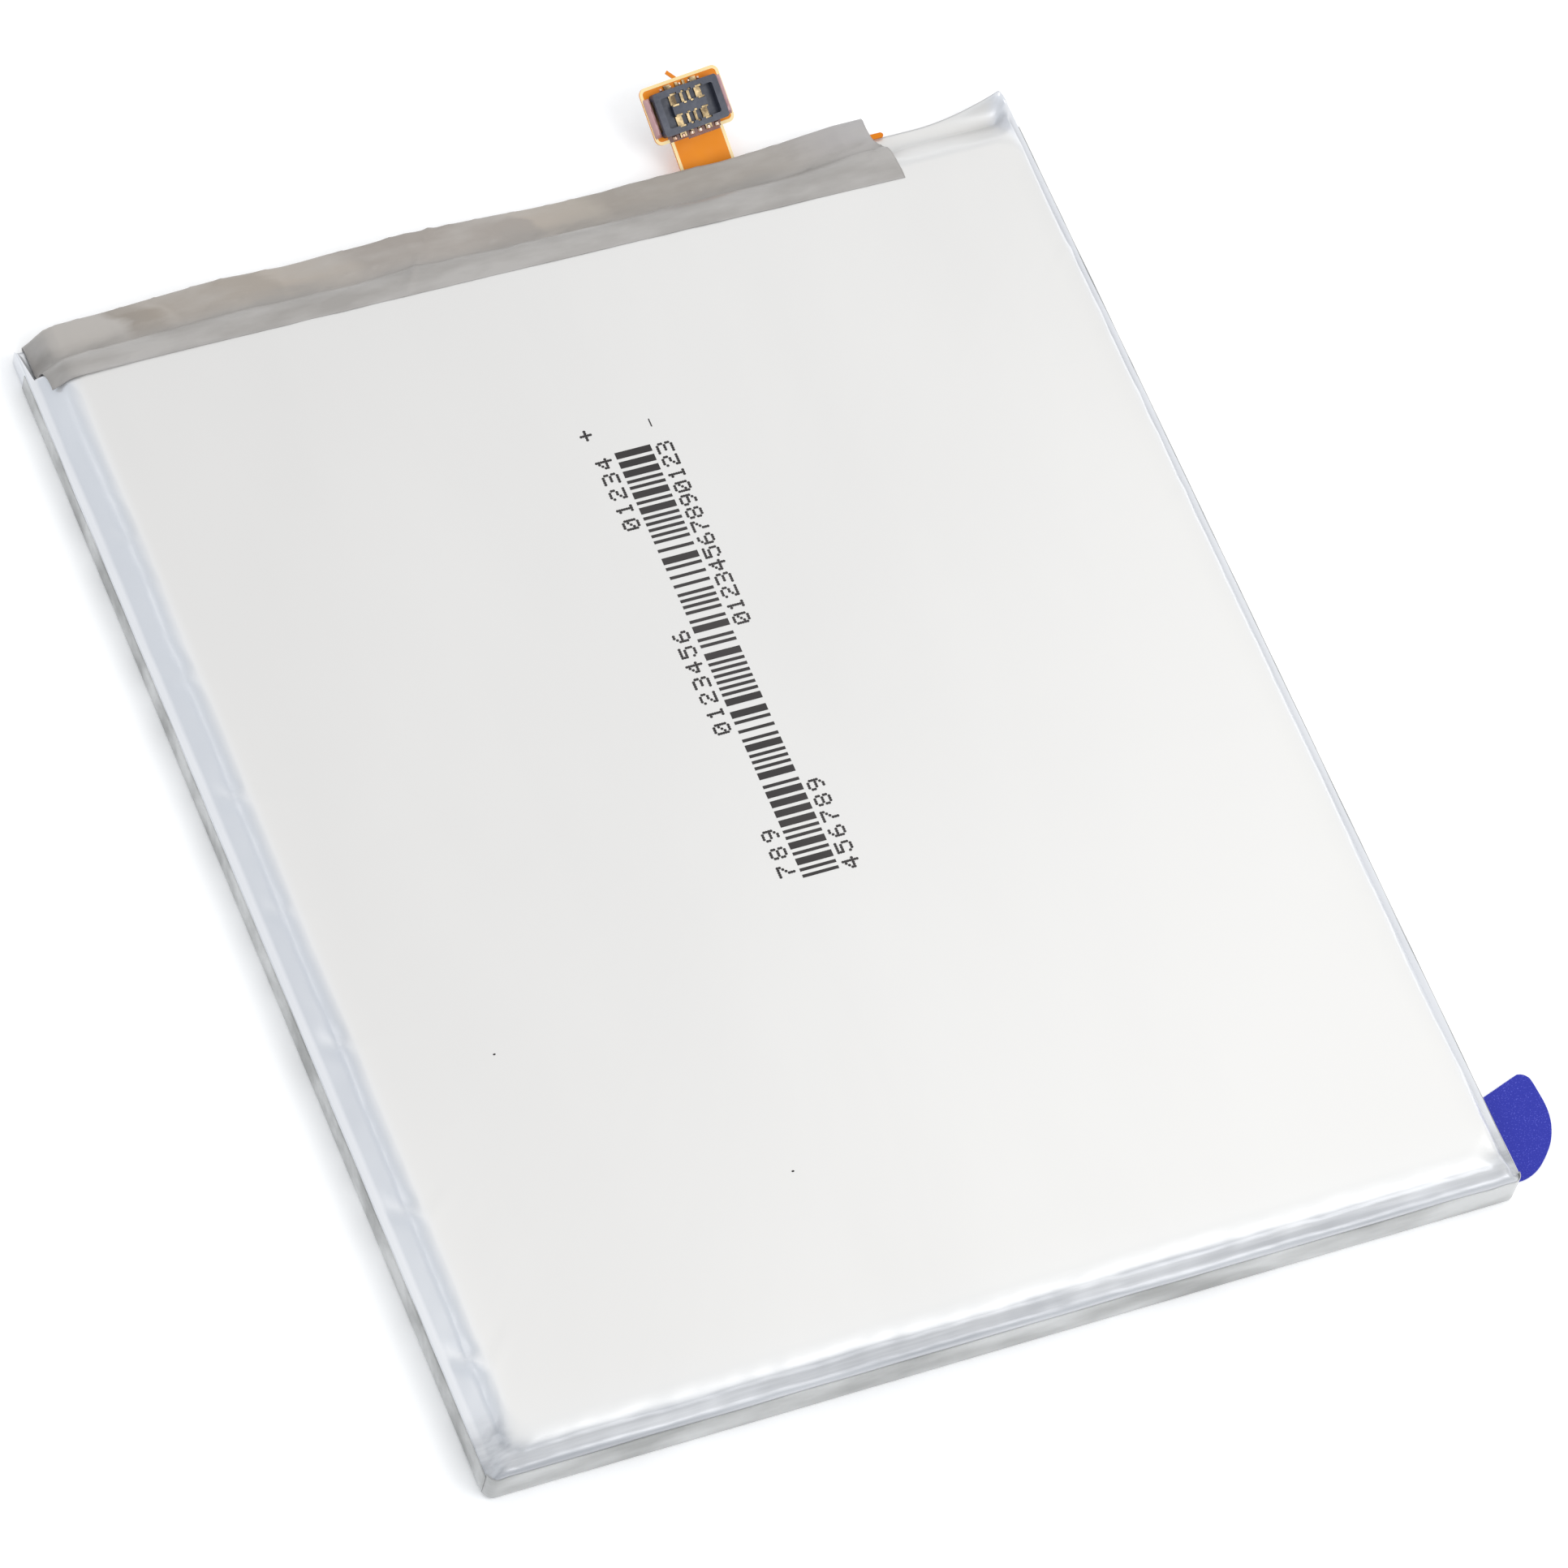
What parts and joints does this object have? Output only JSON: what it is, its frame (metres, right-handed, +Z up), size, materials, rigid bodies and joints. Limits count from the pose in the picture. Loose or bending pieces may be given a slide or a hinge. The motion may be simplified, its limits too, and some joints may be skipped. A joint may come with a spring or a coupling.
{
  "type": "mobile phone battery",
  "caption": "Flat pouch-cell battery of a mobile phone, with a taped-over protection circuit, a short flex tail with a board-to-board connector, and a blue pull tab",
  "frame": {"origin": "on the plane the battery rests on, under the middle of the cell", "axes": "+X across the width to the side the pull tab sticks out of; +Y along the cell to the terrace with the circuit and the connector; +Z up to the drawn face"},
  "size_m": [0.0693, 0.0855, 0.0039],
  "materials": {
    "pouch_foil": "satin",
    "grey_tape": "satin",
    "side_tape": "matte",
    "blue_film": "glossy",
    "flex_film": "satin",
    "board_laminate": "satin",
    "pad_foam": "matte",
    "seal_film": "satin",
    "tab_metal": "satin",
    "nickel": "brushed",
    "stiffener_steel": "brushed",
    "gold_plate": "polished",
    "connector_resin": "satin",
    "chip_epoxy": "matte",
    "chip_ceramic": "satin",
    "resistor_black": "satin"
  },
  "bodies": {
    "root": {"cell_pouch": "pouch_foil", "positive_tab": "tab_metal", "negative_tab": "nickel", "positive_tab_film": "seal_film", "negative_tab_film": "seal_film", "board_pad": "pad_foam", "flex_circuit": "flex_film", "protection_board": "board_laminate", "positive_weld_plate": "nickel", "negative_weld_plate": "nickel", "power_transistor_a": "chip_epoxy", "power_transistor_b": "chip_epoxy", "protection_chip_a": "chip_epoxy", "protection_chip_b": "chip_epoxy", "sense_resistor": "resistor_black", "chip_resistors": "resistor_black", "chip_capacitors": "chip_ceramic", "thermistor": "resistor_black", "connector_stiffener": "stiffener_steel", "connector_housing": "connector_resin", "power_contacts": "gold_plate", "signal_contacts": "gold_plate", "connector_hold_downs": "gold_plate", "top_tape": "grey_tape", "bottom_tape": "side_tape", "left_side_tape": "side_tape", "right_side_tape": "side_tape", "pull_tab": "blue_film"}
  },
  "joints": []
}
